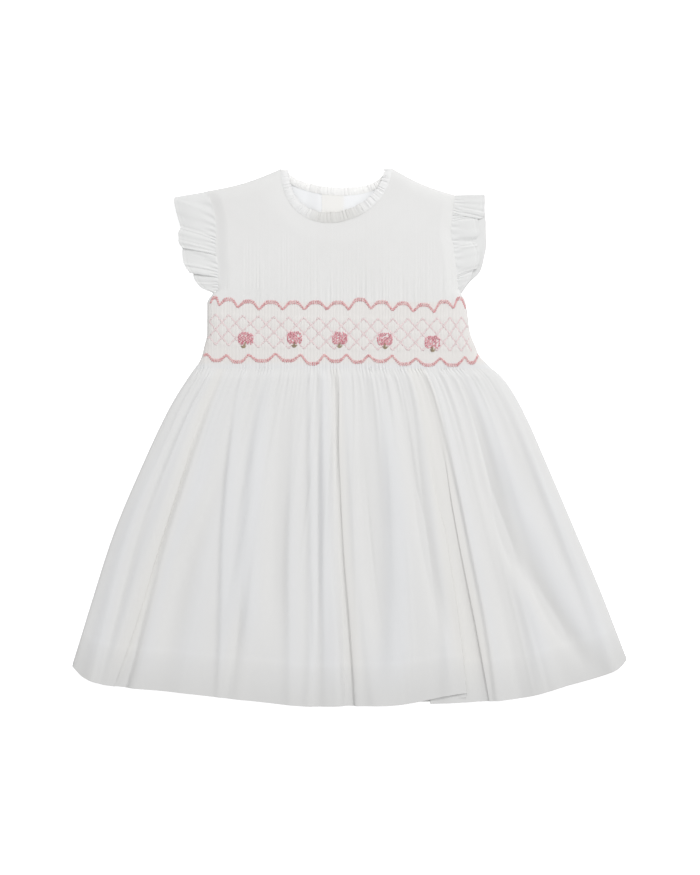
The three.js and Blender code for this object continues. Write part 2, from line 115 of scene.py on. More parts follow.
# Folds of the front skirt: where each crosses the waist, the middle and the hem, how far its
# left and right slopes reach, and how far down it swells and dies away. Troughs are negative.
FOLDS = table(
    "waist middle hem left right height start end",
    (0.03, 0.026, 0.034, 9, 5, 3.2, 0.25, 2),
    (0.05, 0.05, 0.05, 4, 6, -1.6, 0.45, 2),
    (0.065, 0.078, 0.05, 16, 9, 2.6, 0.05, 2),
    (0.118, 0.117, 0.106, 6, 16, 3.6, 0.1, 2),
    (0.115, 0.114, 0.09, 5, 9, -5, 0.68, 2),
    (0.16, 0.15, 0.15, 10, 12, 2.0, 0.12, 0.5),
    (0.23, 0.17, 0.145, 14, 15, -2.6, 0.32, 0.85),
    (0.165, 0.232, 0.266, 4.6, 15, 2.9, 0.08, 2),
    (0.225, 0.2, 0.2, 16, 16, 2.2, 0.35, 2),
    (0.245, 0.285, 0.3, 12, 15, 4.4, 0.08, 0.8),
    (0.33, 0.3, 0.276, 8, 7, -3.2, 0.55, 2),
    (0.305, 0.345, 0.355, 10, 12, -2.0, 0.3, 0.75),
    (0.35, 0.378, 0.395, 6, 12, 2.1, 0.22, 2),
    (0.385, 0.427, 0.426, 6, 7, 2.2, 0.06, 2),
    (0.43, 0.45, 0.458, 5, 6, 1.8, 0.12, 2),
    (0.43, 0.462, 0.478, 9, 8, 3.6, 0.04, 2),
    (0.462, 0.488, 0.502, 6, 4, -1.8, 0.04, 2),
    (0.495, 0.496, 0.502, 7, 3, -4, 0.75, 2),
    (0.515, 0.54, 0.54, 13, 13, -1.6, 0.2, 0.8),
    (0.5, 0.525, 0.545, 6, 10, 1.6, 0.1, 2),
    (0.6, 0.612, 0.565, 13, 15, 4.4, 0.15, 2),
    (0.66, 0.675, 0.7, 9, 12, -2.8, 0.2, 0.8),
    (0.69, 0.7, 0.68, 8, 9, 2.2, 0.35, 2),
    (0.742, 0.742, 0.738, 6, 5, -3, 0.6, 2),
    (0.765, 0.776, 0.766, 3, 9, 2.2, 0.1, 2),
    (0.8, 0.815, 0.81, 8, 9, -2.0, 0.45, 2),
    (0.86, 0.852, 0.846, 4, 8, -2.4, 0.06, 0.62),
    (0.84, 0.86, 0.845, 9, 9, 2.0, 0.5, 2),
    (0.82, 0.852, 0.95, 10, 12, -3.3, 0.36, 0.92),
    (0.885, 0.91, 0.965, 15, 16, 3, 0.08, 0.95),
    (0.93, 0.88, 0.87, 7, 8, 1.8, 0.65, 2),
    (0.965, 0.975, 0.975, 7, 6, 2.0, 0.2, 2),
)
# The sleeves' folded flounces, from the underarm up the front, over the shoulder and down the
# back: where the cloth leaves the armhole and where its free edge lies.
SLEEVE_RIMS = {
    "left": table(
        "seam x y z",
        (138, -133, 140.5, 1.6), (140, -137.5, 141.6, 2.4), (143, -142, 143, 3), (147, -147, 148, 3.4),
        (151, -150.6, 156, 3.2), (153.5, -151, 163, 2.8), (153.5, -153, 161, 4), (154, -153.8, 158, 4.8),
        (157, -157, 162.5, 5), (162, -159.8, 169, 4.8), (168, -161, 178, 4.4), (174, -160.5, 187, 4),
        (174.5, -160.5, 184, 4.9), (176, -160.6, 181.8, 5.4), (180, -164.8, 189, 5.8),
        (186, -165.2, 196, 5.8), (191, -162.6, 202, 5.2), (196, -164, 206, 5.2), (204, -167.2, 218, 6.2),
        (213, -169, 228, 6.2), (225, -168.8, 230.4, 5.8), (236.8, -167, 231, 4),
        (236, -166.5, 230.4, 1.2), (225, -165, 222, 0.6), (205, -161, 205, 0.6), (180, -158, 183, 0.6),
        (160, -150, 160, 0.6), (140, -136, 142, 0.6),
    ),
    "right": table(
        "seam x y z",
        (138, 105.4, 138.4, 1.8), (141, 108.5, 141.5, 2.6), (146, 112.5, 147, 3.2), (151, 117, 154, 3.4),
        (154, 118, 160, 3), (157, 121.8, 163, 4.2), (164, 124.6, 170, 4.6), (172, 125.4, 177, 4.4),
        (180, 123, 184, 4.2), (187, 119.2, 188.6, 3.2), (191, 121.4, 192, 4.6), (197, 125, 197.6, 5.2),
        (203, 124, 204, 5), (209, 122.4, 212, 4.6), (213, 122, 217, 4.2), (213.5, 123, 213.5, 4.7),
        (215.5, 124.6, 210, 5), (219, 128.2, 212, 5.3), (223, 129.8, 217, 5.5), (227, 129.9, 226, 5.4),
        (231, 129.2, 232.6, 5), (232.8, 128, 233.6, 4.2), (231, 128.4, 231, 3.4), (222, 129.8, 214, 4),
        (207, 131, 202, 4), (193, 131, 187, 3.6), (178, 129, 172, 2.8), (163, 125.4, 160, 1.4),
        (150, 115, 149, 0.6), (140, 107, 139, 0.6),
    ),
}

# ---- Small helpers ----


def lerp(a, b, t):
    return a + (b - a) * t


def smooth(t):
    t = np.clip(t, 0, 1)
    return t * t * (3 - 2 * t)


def quarter_round(t):
    return np.sqrt(1 - (1 - np.clip(t, 0, 1)) ** 2)


def look(rows, key, name, at):
    """One column of a table at a key, through a smooth curve that never overshoots."""
    x, y = rows[key], rows[name]
    slope = np.diff(y) / np.diff(x)
    before, after = slope[:-1], slope[1:]
    both = np.where(before + after == 0, 1, before + after)
    inner = np.where(before * after > 0, 2 * before * after / both, 0)
    tangent = np.concatenate([slope[:1], inner, slope[-1:]])
    at = np.clip(np.asarray(at, float), x[0], x[-1])
    i = np.clip(np.searchsorted(x, at, side="right") - 1, 0, len(x) - 2)
    span = x[i + 1] - x[i]
    t = (at - x[i]) / span
    start = (2 * t**3 - 3 * t**2 + 1) * y[i] + (t**3 - 2 * t**2 + t) * span * tangent[i]
    return start + (3 * t**2 - 2 * t**3) * y[i + 1] + (t**3 - t**2) * span * tangent[i + 1]


def noise_line(seed, count):
    """A smooth random curve over 0..1, from -1 to 1, with about that many swings."""
    values = np.random.default_rng(seed).uniform(-1, 1, count + 3)

    def read(t):
        place = np.clip(t, 0, 1) * count
        i = place.astype(int)
        return lerp(values[i], values[i + 1], smooth(place - i))

    return read


# ---- Cloth shells ----

RIM_ANGLE = math.radians(55)  # edges turned more than this are creased, so that rims stay crisp


def grid_normals(grid):
    across = np.gradient(grid, axis=1)
    along = np.gradient(grid, axis=0)
    normal = np.cross(across, along)
    return normal / np.maximum(np.linalg.norm(normal, axis=2, keepdims=True), 1e-9)


def mesh_object(name, points, faces):
    mesh = bpy.data.meshes.new(name)
    mesh.from_pydata((np.asarray(points) * MM).tolist(), [], faces)
    mesh.polygons.foreach_set("use_smooth", [True] * len(mesh.polygons))
    mesh.update()
    piece = bpy.data.objects.new(name, mesh)
    bpy.context.scene.collection.objects.link(piece)
    return piece


def shell(name, grid, thickness):
    """A closed shell around a grid of middle points. The grid's normals point up and out."""
    half = grid_normals(grid) * thickness / 2
    rows, columns = grid.shape[:2]
    points = np.concatenate([(grid + half).reshape(-1, 3), (grid - half).reshape(-1, 3)])
    upper = np.arange(rows * columns).reshape(rows, columns)
    lower = upper + rows * columns

    def quads(a, b, c, d):
        return np.stack([a, b, c, d], axis=-1).reshape(-1, 4)

    faces = np.concatenate([
        quads(upper[:-1, :-1], upper[:-1, 1:], upper[1:, 1:], upper[1:, :-1]),
        quads(lower[:-1, :-1], lower[1:, :-1], lower[1:, 1:], lower[:-1, 1:]),
        quads(upper[:-1, 0], upper[1:, 0], lower[1:, 0], lower[:-1, 0]),
        quads(upper[:-1, -1], lower[:-1, -1], lower[1:, -1], upper[1:, -1]),
        quads(upper[0, :-1], lower[0, :-1], lower[0, 1:], upper[0, 1:]),
        quads(upper[-1, :-1], upper[-1, 1:], lower[-1, 1:], lower[-1, :-1]),
    ])
    piece = mesh_object(name, points, faces.tolist())
    piece.data.set_sharp_from_angle(angle=RIM_ANGLE)
    return piece


def store(piece, name, values):
    """Stores one number for each point of a mesh, for its material to read."""
    attribute = piece.data.attributes.new(name, "FLOAT", "POINT")
    attribute.data.foreach_set("value", values.astype(np.float32))


def cloth(
    name, grid, material, marks=None, thickness=CLOTH,
):
    """Makes the cloth piece of a CAD node and puts it in the frame.
    The grid is the x, y and z of its middle points. Marks are numbers for each of them, stored
    on both faces of the shell."""
    piece = shell(f"{name}_cloth", np.stack(grid, axis=2), thickness)
    for label, values in (marks or {}).items():
        store(piece, label, np.tile(values.reshape(-1), 2))
    piece.data.materials.append(material)
    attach(piece, "root")
    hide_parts(name)


# ---- Materials ----


def feed(tree, made, inputs):
    """Gives each input, by its name or number, a value of its own or a link from a socket."""
    for name, value in inputs.items():
        if isinstance(value, bpy.types.NodeSocket):
            tree.links.new(value, made.inputs[name])
        else:
            made.inputs[name].default_value = value


def node(tree, kind, inputs=None, **settings):
    made = tree.nodes.new(kind)
    for name, value in settings.items():
        setattr(made, name, value)
    feed(tree, made, inputs or {})
    return made


def new_group(name, inputs, outputs):
    """A shader node group of plain numbers, with its input and output nodes."""
    group = bpy.data.node_groups.new(name, "ShaderNodeTree")
    for label, default in inputs.items():
        socket = group.interface.new_socket(label, in_out="INPUT", socket_type="NodeSocketFloat")
        socket.default_value = default
    for label in outputs:
        group.interface.new_socket(label, in_out="OUTPUT", socket_type="NodeSocketFloat")
    return group, group.nodes.new("NodeGroupInput").outputs, group.nodes.new("NodeGroupOutput")


def math_node(tree, operation, first, second):
    return node(tree, "ShaderNodeMath", {0: first, 1: second}, operation=operation).outputs[0]


def noise(tree, **inputs):
    return node(tree, "ShaderNodeTexNoise", inputs).outputs["Fac"]


def cotton_weave_group():
    """Plain-weave threads with slubs. Height drives the bump; Mottle is a soft cloudiness, 0..1."""
    group, given, out = new_group(
        "Cotton weave", {"Thread count": 1600.0, "Slub": 0.5, "Cloud scale": 9.0}, ["Height", "Mottle"],
    )
    place = node(group, "ShaderNodeTexCoord").outputs["Object"]
    wave = {"Vector": place, "Scale": given["Thread count"], "Distortion": 1.5, "Detail": 1.0}
    warp, weft = (
        node(group, "ShaderNodeTexWave", wave, bands_direction=direction).outputs["Fac"]
        for direction in ("X", "Y")
    )
    slub = noise(group, Vector=place, Scale=420.0, Detail=3.0)
    uneven = math_node(group, "MULTIPLY", slub, given["Slub"])
    woven = math_node(group, "MAXIMUM", warp, weft)
    feed(group, out, {
        "Height": math_node(group, "ADD", woven, uneven),
        "Mottle": noise(group, Vector=place, Scale=given["Cloud scale"], Detail=4.0),
    })
    return group


def crumple_group():
    """Small soft creases pressed into worn cotton, as a height in 0..1."""
    group, given, out = new_group("Soft crumple", {"Scale": 22.0, "Stretch": 0.35}, ["Height"])
    place = node(group, "ShaderNodeTexCoord").outputs["Object"]
    parts = node(group, "ShaderNodeSeparateXYZ", {0: place}).outputs
    drawn_out = math_node(group, "MULTIPLY", parts["Y"], given["Stretch"])
    joined = node(group, "ShaderNodeCombineXYZ", {"X": parts["X"], "Y": drawn_out}).outputs[0]
    creases = noise(group, Vector=joined, Scale=given["Scale"], Detail=5.0, Distortion=0.6)
    feed(group, out, {"Height": creases})
    return group


WEAVE = cotton_weave_group()
CRUMPLE = crumple_group()


def placed(tree, group, inputs):
    """The outputs of a node group placed in a material with its own values."""
    return node(tree, "ShaderNodeGroup", inputs, node_tree=group).outputs


def mixed(tree, factor, first, second):
    """A colour between two, each a colour or a socket."""
    ends = [(*value, 1) if isinstance(value, tuple) else value for value in (first, second)]
    inputs = {"Factor": factor, 6: ends[0], 7: ends[1]}
    return node(tree, "ShaderNodeMix", inputs, data_type="RGBA").outputs[2]


def ranged(tree, value, low, high, from_low=0.0, from_high=1.0):
    """A value moved from one range into another."""
    inputs = {"Value": value, "From Min": from_low, "From Max": from_high, "To Min": low, "To Max": high}
    return node(tree, "ShaderNodeMapRange", inputs).outputs[0]


def bumped(tree, strength, distance, **inputs):
    """The surface's normal, tilted by a Height and laid over the Normal given, if any."""
    inputs = {"Strength": strength, "Distance": distance, **inputs}
    return node(tree, "ShaderNodeBump", inputs).outputs[0]


def new_material(name):
    material = bpy.data.materials.new(name)
    material.use_nodes = True
    tree = material.node_tree
    return material, tree, tree.nodes["Principled BSDF"]


CREASE_DEPTH = 0.002          # bump distances, in metres
WEAVE_DEPTH = 0.0001
THREAD_DEPTH = 0.0002


def cotton(name, light, shade, crease=0.35, deep=None, sunk=None):
    """Soft matte cotton. "deep" is the colour where two layers lie together at the hem, and painted
    shade at the bottom of the front frill. The other tint is the cloth's own colour below the smocking
    and on the placket, and painted shade between the skirt's folds and along its pleats."""
    material, tree, shader = new_material(name)
    weave = placed(tree, WEAVE, {"Thread count": 1600.0})
    crumple = placed(tree, CRUMPLE, {"Scale": 22.0})
    colour = mixed(tree, ranged(tree, weave["Mottle"], 0, 1, 0.3, 0.7), light, shade)
    for attribute_name, tint in (("sunk", sunk), ("doubled_and_frill_shade", deep)):
        if tint is not None:
            mask = node(tree, "ShaderNodeAttribute", attribute_name=attribute_name)
            colour = mixed(tree, mask.outputs["Fac"], colour, tint)
    creased = bumped(tree, crease, CREASE_DEPTH, Height=crumple["Height"])
    feed(tree, shader, {
        "Base Color": colour,
        "Roughness": ranged(tree, weave["Mottle"], 0.78, 0.9),
        "Normal": bumped(tree, 0.25, WEAVE_DEPTH, Height=weave["Height"], Normal=creased),
        "Sheen Weight": 0.15,
        "Sheen Roughness": 0.6,
        "Specular IOR Level": 0.25,
    })
    return material


def thread(name, light, deep):
    """Stranded embroidery cotton: each stitch has its own depth of colour, stored as "shade"."""
    material, tree, shader = new_material(name)
    shade = node(tree, "ShaderNodeAttribute", attribute_name="shade").outputs["Fac"]
    weave = placed(tree, WEAVE, {"Thread count": 2600.0, "Slub": 0.8})
    feed(tree, shader, {
        "Base Color": mixed(tree, shade, light, deep),
        "Roughness": ranged(tree, weave["Mottle"], 0.5, 0.65),
        "Normal": bumped(tree, 0.5, THREAD_DEPTH, Height=weave["Height"]),
        "Sheen Weight": 0.3,
    })
    return material


def pearl(name):
    material, tree, shader = new_material(name)
    cloud = placed(tree, WEAVE, {"Cloud scale": 120.0})["Mottle"]
    feed(tree, shader, {
        "Base Color": mixed(tree, cloud, (0.9, 0.88, 0.84), (0.8, 0.79, 0.78)),
        "Roughness": ranged(tree, cloud, 0.18, 0.32),
        "Coat Weight": 0.3,
    })
    return material


# Its deep colour is the doubled hem's own; its other tint is painted shade between the skirt's folds.
WHITE = cotton(
    "White cotton", (0.752, 0.757, 0.761), (0.724, 0.729, 0.732),
    deep=(0.684, 0.683, 0.672), sunk=(0.757, 0.75, 0.728),
)
SLEEVE_COTTON = cotton("Sleeve cotton", (0.757, 0.76, 0.75), (0.73, 0.733, 0.724), crease=0.3)
YOKE = cotton("Pleated cotton", (0.772, 0.771, 0.76), (0.743, 0.74, 0.726), crease=0.2)
SMOCKED = cotton(
    "Smocked cotton", (0.769, 0.751, 0.73), (0.749, 0.727, 0.702), crease=0.15,
    sunk=(0.745, 0.747, 0.745),
)
# A whiter lining, brightened further as painted light that takes away the shade the front's neck edge
# casts inside the back.
INSIDE = cotton(
    "Inside cotton", (0.878, 0.886, 0.892), (0.854, 0.862, 0.87), crease=0.25,
    sunk=(0.85, 0.842, 0.815),
)
# Its deep colour is painted shade at the bottom of the front frill.
TRIM = cotton(
    "Frill cotton", (0.81, 0.81, 0.804), (0.78, 0.78, 0.77), crease=0.2,
    deep=(0.69, 0.685, 0.662),
)
# Whiter like the lining, and brightened as painted light so the shade between back frill and back cloth
# does not show.
BACK_TRIM = cotton("Inner frill cotton", (0.88, 0.876, 0.86), (0.85, 0.846, 0.83), crease=0.2)
SALMON = thread("Salmon thread", (0.86, 0.56, 0.55), (0.7, 0.29, 0.31))
PALE_PINK = thread("Pale pink thread", (0.84, 0.71, 0.705), (0.79, 0.645, 0.645))
ROSE = thread("Rose thread", (0.88, 0.42, 0.47), (0.66, 0.13, 0.2))
OLIVE = thread("Olive thread", (0.42, 0.34, 0.22), (0.26, 0.19, 0.12))
PEARL = pearl("Pearl button")

# ---- The bodice ----


def bodice_side(side, y):
    return look(BODICE_SIDES, "y", side, y)


def inside_bodice(x, y):
    """Distance in from the nearer side edge of the front bodice."""
    return np.minimum(x - bodice_side("left", y), bodice_side("right", y) - x)


def neck_point(along, edge):
    """A point of the front or back neckline, from the left neck point (0) to the right one (1)."""
    (left_x, left_y), (right_x, right_y) = NECK["left"], NECK["right"]
    angle = math.pi * np.asarray(along, float)
    x = (left_x + right_x) / 2 - (right_x - left_x) / 2 * np.cos(angle)
    depth = NECK_DEPTH[edge] * (1 + NECK_LEAN[edge] * np.cos(angle))
    return x, lerp(left_y, right_y, along) - depth * np.maximum(np.sin(angle), 0) ** 0.9


def shoulder_y(side, t):
    return lerp(SHOULDER[side][1], NECK[side][1], t) - SHOULDER_SAG * np.sin(np.pi * t)


def shoulder_point(side, t):
    return lerp(SHOULDER[side][0], NECK[side][0], t), shoulder_y(side, t)


def beyond_neckline(x, y):
    """How far a point lies outside the front neckline, taken as part of an oval."""
    (left_x, left_y), (right_x, right_y) = NECK["left"], NECK["right"]
    half = (right_x - left_x) / 2
    down = (y - (left_y + right_y) / 2) * half / NECK_DEPTH["front"]
    return np.hypot(x - (left_x + right_x) / 2, down) - half


def sewn_level(near_edge):
    """Level of the front cloth, which comes down to the back cloth along their seams."""
    return lerp(BACK_LEVEL + SEAM_STEP, FRONT_LEVEL, near_edge)


def below_shoulder(x, y):
    """Distance down from the nearer shoulder line."""
    left = x < OPENING["centre"]
    tip_x = np.where(left, SHOULDER["left"][0], SHOULDER["right"][0])
    neck_x = np.where(left, NECK["left"][0], NECK["right"][0])
    along = np.clip((x - tip_x) / (neck_x - tip_x), 0, 1)
    return np.where(left, shoulder_y("left", along), shoulder_y("right", along)) - y


def bodice_height(x, y):
    """Middle height of the front bodice: it rounds down to the side seams and the shoulders.
    Along the armholes it meets the sleeves higher up."""
    inside, below = inside_bodice(x, y), below_shoulder(x, y)
    at_armhole = smooth((y - UNDERARM_Y) / ROLL)
    joined = lerp(ARMHOLE_LEVEL, 1, smooth((inside + 2) / ROLL))
    edge = lerp(quarter_round(inside / ROLL), joined, at_armhole)
    at_neck = lerp(NECKLINE_LEVEL, 1, smooth((beyond_neckline(x, y) + 4) / 26))
    seam_edge = lerp(quarter_round(inside / SEAM_REACH), 1, at_armhole)
    level = sewn_level(seam_edge * quarter_round(below / SEAM_REACH))
    return level + BODICE_LOFT * edge * at_neck * quarter_round(below / ROLL)


FRONT_WIDTH = 270.0           # over which the pleats' unevenness runs
# Fine pleats of the front and the broader folds they run into, up the yoke.
PLEAT = {"pitch": 3.1, "height": 0.12, "uneven": 0.07, "reach": 46, "uneven_reach": 34}
WIDE_PLEAT = {"pitch": 7.3, "height": 0.24}
PLEATS_LEFT_AT_NECK = 0.04    # share of their height that is left at the neck
pleat_wander = noise_line(11, 60)
pleat_depth = noise_line(12, 34)
pleat_reach = noise_line(13, 26)


def fine_pleats(x, y):
    """Height of the fine pleats: even in the band, uneven above it and fading up to the neck."""
    t = (x - BODICE_SIDES["left"][0]) / FRONT_WIDTH
    depth = pleat_depth(t)
    above = smooth((y - BAND_TOP_Y + 6) / 12)
    reach = PLEAT["reach"] + PLEAT["uneven_reach"] * pleat_reach(t)
    fade = lerp(1, PLEATS_LEFT_AT_NECK, smooth((y - BAND_TOP_Y) / reach))
    phase = 2 * np.pi * (x / PLEAT["pitch"] + 0.35 * pleat_wander(t))
    wide_phase = 2 * np.pi * (x / WIDE_PLEAT["pitch"] + 0.8 * depth)
    opened = 1 + 2.2 * smooth((WAIST_Y + 9 - y) / 9) * (0.5 + depth)
    narrow = (PLEAT["height"] + PLEAT["uneven"] * depth * above) * np.cos(phase) * opened
    wide = WIDE_PLEAT["height"] * above * (0.6 + 0.7 * depth) * np.cos(wide_phase)
    return fade * (narrow + wide)


# The smocked trellis: the points of its upper zigzag, and how its top and bottom lie.
LATTICE_PEAKS = np.array([
    -141, -129, -116.5, -103, -88, -73, -58.8, -44.3, -30, -15.5, -1, 13.2, 26.9, 41.2, 55.6, 69.7,
    83.4, 96, 107, 116.5,
])
LATTICE_LEVELS = table(
    "x top bottom",
    (-141, 119, 90), (-100, 117, 87), (-60, 115.5, 85.5), (0, 114.5, 84.5), (60, 114, 83.5),
    (117, 116, 83),
)
LATTICE_ROWS = 4              # half diamonds from top to bottom
PUFF = 0.45                   # how far the cloth stands up inside a diamond


def lattice_level(name, x):
    return np.interp(x, LATTICE_LEVELS["x"], LATTICE_LEVELS[name])


def lattice_puff(x, y):
    """The smocked cloth stands up a little inside each diamond and sinks at its stitches."""
    u = np.interp(x, LATTICE_PEAKS, np.arange(len(LATTICE_PEAKS)))
    top, bottom = lattice_level("top", x), lattice_level("bottom", x)
    diamonds = LATTICE_ROWS / 2
    v = (top - y) / (top - bottom) * diamonds
    first = np.abs(np.sin(np.pi * (u + v)))
    second = np.abs(np.sin(np.pi * (u - v)))
    within = smooth((v + 0.2) / 0.3) * smooth((diamonds + 0.2 - v) / 0.3)
    return PUFF * (first * second) ** 0.7 * within


def bodice_surface(x, y):
    """Middle height of the front bodice with its pleats and smocking."""
    worked = fine_pleats(x, y) + lattice_puff(x, y)
    return bodice_height(x, y) + worked * smooth(inside_bodice(x, y) / 3)


NECK_FROM, NECK_TO = 0.28, 0.72       # the part of the front's upper edge that is neckline


def front_top(u):
    """Upper edge of the front: left shoulder, neckline, right shoulder."""
    left = shoulder_point("left", u / NECK_FROM)
    right = shoulder_point("right", (1 - u) / (1 - NECK_TO))
    neck = neck_point(np.clip((u - NECK_FROM) / (NECK_TO - NECK_FROM), 0, 1), "front")
    return tuple(
        np.where(u <= NECK_FROM, on_left, np.where(u >= NECK_TO, on_right, on_neck))
        for on_left, on_right, on_neck in zip(left, right, neck)
    )


def patch(bottom, top, left, right, u, v):
    """Points of a patch between four edges, each a function from 0..1 to (x, y)."""
    made = []
    for k in (0, 1):
        zero, one = np.zeros(1), np.ones(1)
        low = lerp(bottom(zero)[k], bottom(one)[k], u)
        high = lerp(top(zero)[k], top(one)[k], u)
        ruled = lerp(bottom(u)[k], top(u)[k], v)
        made.append(ruled + lerp(left(v)[k], right(v)[k], u) - lerp(low, high, v))
    return made


def level_edge(y):
    return lambda u: (lerp(bodice_side("left", y), bodice_side("right", y), u), np.full_like(u, y))


def side_edge(side, low, high):
    return lambda v: (bodice_side(side, lerp(low, high, v)), lerp(low, high, v))


def mesh_lines(*spans):
    """Grid stations from (start, end, count) spans, without repeats."""
    last = len(spans) - 1
    return np.concatenate([
        np.linspace(start, end, count, endpoint=(i == last))
        for i, (start, end, count) in enumerate(spans)
    ])


def front_yoke():
    u = mesh_lines((0, NECK_FROM, 110), (NECK_FROM, NECK_TO, 200), (NECK_TO, 1, 111))[None, :]
    v = np.linspace(0, 1, 56)[:, None]
    x, y = patch(
        level_edge(BAND_TOP_Y),
        front_top,
        side_edge("left", BAND_TOP_Y, SHOULDER["left"][1]),
        side_edge("right", BAND_TOP_Y, SHOULDER["right"][1]),
        u, v,
    )
    cloth(
        "front_yoke", (x, y, bodice_surface(x, y)), YOKE,
    )


def smocked_band():
    u = np.linspace(0, 1, 540)[None, :]
    y = np.linspace(WAIST_Y, BAND_TOP_Y, 50)[:, None] + 0 * u
    x = lerp(bodice_side("left", y), bodice_side("right", y), u)
    cloth(
        "front_smocked_band", (x, y, bodice_surface(x, y)), SMOCKED,
        marks={"sunk": smooth((WAIST_Y + 8 - y) / 6)},
    )


PLACKET_STEP = 0.62           # the right half lies this far over the left one at the opening
BACK_SHOULDER = 0.56          # share of the upper edge of a back half that is shoulder


def outer_back_height(x):
    return BACK_LEVEL + BUTTON_LIFT * smooth((x - OPENING["inner"] + 16) / 15)


def inner_back_height(x):
    down = smooth((x - OPENING["outer"] - 6) / 18)
    return lerp(BACK_LEVEL + BUTTON_LIFT + PLACKET_STEP, BACK_LEVEL, down)


def back_top(side, edge_x):
    """Upper edge of a back half, from the sleeve along the shoulder and the neck to the opening."""
    (left_x, _), (right_x, _) = NECK["left"], NECK["right"]
    neck_end = math.acos(1 - 2 * (edge_x - left_x) / (right_x - left_x)) / math.pi
    start = 0 if side == "left" else 1

    def edge(t):
        along = lerp(start, neck_end, np.clip((t - BACK_SHOULDER) / (1 - BACK_SHOULDER), 0, 1))
        shoulder = shoulder_point(side, np.clip(t / BACK_SHOULDER, 0, 1))
        pairs = zip(shoulder, neck_point(along, "back"))
        return tuple(np.where(t <= BACK_SHOULDER, *pair) for pair in pairs)

    return edge


def back_bodice(side, edge_x, height):
    """One half of the back, with a stitched fold at its button edge."""
    top = back_top(side, edge_x)
    end_y = float(top(np.ones(1))[1][0])
    u = mesh_lines((0, BACK_SHOULDER, 50), (BACK_SHOULDER, 1, 61))[None, :]
    v = np.linspace(0, 1, 90)[:, None]
    x, y = patch(
        lambda t: (lerp(float(bodice_side(side, WAIST_Y)), edge_x, t), np.full_like(t, WAIST_Y)),
        top,
        side_edge(side, WAIST_Y, SHOULDER[side][1]),
        lambda t: (np.full_like(t, edge_x), lerp(WAIST_Y, end_y, t)),
        u, v,
    )
    stitch_line = np.exp(-(((np.abs(x - edge_x) - 1.5) / 0.5) ** 2))
    grid, marks = (x, y, height(x) - 0.12 * stitch_line), {}
    if side == "right":
        grid = [values[:, ::-1] for values in grid]
        marks["sunk"] = smooth((OPENING["outer"] + 2 - grid[0]) / 4)
    cloth(f"back_bodice_{side}", grid, INSIDE, marks=marks)


# ---- The skirt ----


def skirt_side(name, down):
    return look(SKIRT_SIDES, "down", name, down)


def skirt_x(across, down):
    return lerp(skirt_side("left", down), skirt_side("right", down), across)


def skirt_y(across, down):
    level = lerp(skirt_side("left_y", down), skirt_side("right_y", down), across)
    return level - look(HEM_DROP, "across", "drop", across) * down


def skirt_width(down):
    return skirt_side("right", down) - skirt_side("left", down)


def inside_skirt(across, down):
    """Distance in from the nearer side edge of the skirt."""
    return np.minimum(across, 1 - across) * skirt_width(down)


def fold_line(fold, down):
    """Where a fold or a pleat lies across the skirt, bending through its middle."""
    from_waist = fold["waist"] * (1 - down) * (1 - 2 * down)
    from_hem = fold["hem"] * down * (2 * down - 1)
    return from_waist + 4 * fold["middle"] * down * (1 - down) + from_hem


def table_rows(rows):
    """The rows of a table, each with its column names."""
    return [dict(zip(rows, values)) for values in zip(*rows.values())]


def soft_folds(across, down, folds):
    """Height of the folds in a table above the level of the cloth."""
    height = np.zeros(np.broadcast(across, down).shape)
    for fold in table_rows(folds):
        away = (across - fold_line(fold, down)) * skirt_width(down) / lerp(0.5, 1, down)
        reach = np.where(away < 0, fold["left"], fold["right"])
        swell = smooth((down - fold["start"] + 0.2) / 0.5) * smooth((fold["end"] - down + 0.12) / 0.24)
        height += fold["height"] * swell * np.exp(-((away / reach) ** 2))
    return height


GATHERS = 92
# How far down the skirt a gather reaches, and the share of them that does.
GATHER_LENGTHS = {0.06: 0.22, 0.12: 0.26, 0.22: 0.24, 0.5: 0.16, 1.3: 0.12}


def gathers(across, down):
    """Fine gathers under the smocking: each a narrow ridge that spreads and dies away."""
    random = np.random.default_rng(5)
    height = np.zeros(np.broadcast(across, down).shape)
    for i in range(GATHERS):
        line = (i + 0.5 + random.uniform(-0.35, 0.35)) / GATHERS
        width = random.uniform(1.0, 2.4)
        tall = random.uniform(0.35, 1.3)
        length = random.choice(list(GATHER_LENGTHS), p=list(GATHER_LENGTHS.values()))
        drift = random.uniform(-0.02, 0.02)
        away = (across - line - drift * down) * skirt_width(down) / (width * (1 + 2.2 * down))
        height += tall * np.exp(-((down / length) ** 2)) * np.exp(-(away**2))
    return height


CREASES = 46


def pressed_creases(across, down):
    """Long shallow creases of worn cotton, each over its own stretch of the skirt."""
    random = np.random.default_rng(8)
    height = np.zeros(np.broadcast(across, down).shape)
    for _ in range(CREASES):
        line, drift = random.uniform(0.02, 0.98), random.uniform(-0.05, 0.05)
        middle, reach = random.uniform(0.25, 0.95), random.uniform(0.12, 0.4)
        width, tall = random.uniform(1.6, 5), random.uniform(-0.55, 0.55)
        away = (across - line - drift * (down - middle)) * skirt_width(down) / width
        height += tall * np.exp(-(((down - middle) / reach) ** 2)) * np.exp(-(away**2))
    return height


SKIRT_LOFT = 2.2              # how far the front skirt stands up, below the waist
BLEND = {"start": -0.006, "length": 0.055}     # share of the way down that joins band and skirt


def front_height(across, down):
    """Middle height of the front skirt, without the lift of its folded pleats."""
    inside = inside_skirt(across, down)
    loft = lerp(BODICE_LOFT, SKIRT_LOFT, smooth(down / 0.5))
    folds = soft_folds(across, down, FOLDS) + gathers(across, down) + pressed_creases(across, down)
    z = sewn_level(quarter_round(inside / SEAM_REACH))
    z = z + np.maximum(loft + folds, 0.2) * quarter_round(inside / ROLL)
    band = bodice_surface(skirt_x(across, 0 * down), WAIST_Y)
    return lerp(band, z, smooth((down - BLEND["start"]) / BLEND["length"]))


def pleat_edge(pleat, down):
    return skirt_x(fold_line(pleat, down), down)


